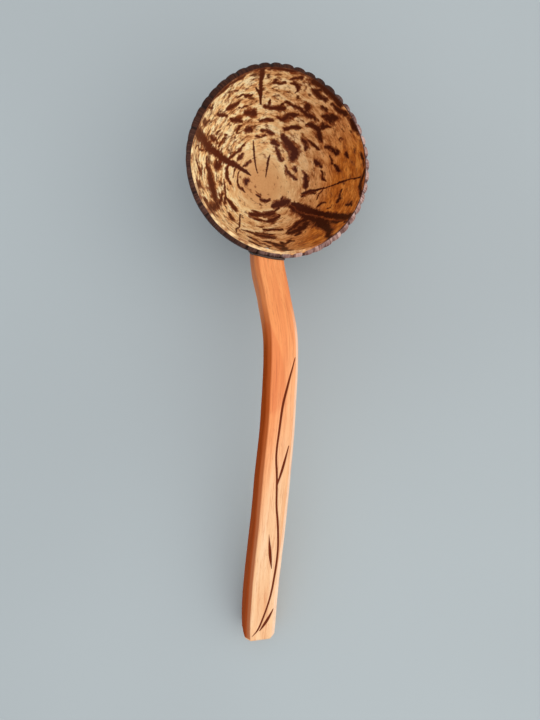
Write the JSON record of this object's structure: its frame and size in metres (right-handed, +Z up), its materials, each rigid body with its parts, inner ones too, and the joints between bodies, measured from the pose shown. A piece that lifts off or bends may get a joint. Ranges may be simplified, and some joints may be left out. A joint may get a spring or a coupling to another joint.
{
  "type": "coconut shell ladle",
  "caption": "Serving ladle with a half coconut shell bowl, a notched rim and a bent wooden handle carved with a vine line.",
  "frame": {"origin": "on the table, under the middle of the ladle's bounding box as it lies at rest", "axes": "+Y from the handle's free end towards the shell, +Z up, +X to the right seen from above with the shell at the far end"},
  "size_m": [0.1004, 0.3312, 0.0668],
  "materials": {
    "coconut_shell": "varnished coconut shell, cream to dark brown inside, dark brown outside",
    "handle_wood": "oiled orange-brown wood with a dark carved line",
    "screw_steel": "bright slightly worn steel",
    "dark_adhesive": "cured dark brown adhesive"
  },
  "bodies": {
    "root": {"shell_bowl": "coconut_shell", "handle": "handle_wood", "screw_upper": "screw_steel", "screw_lower": "screw_steel", "glue_bed": "dark_adhesive"}
  },
  "joints": []
}
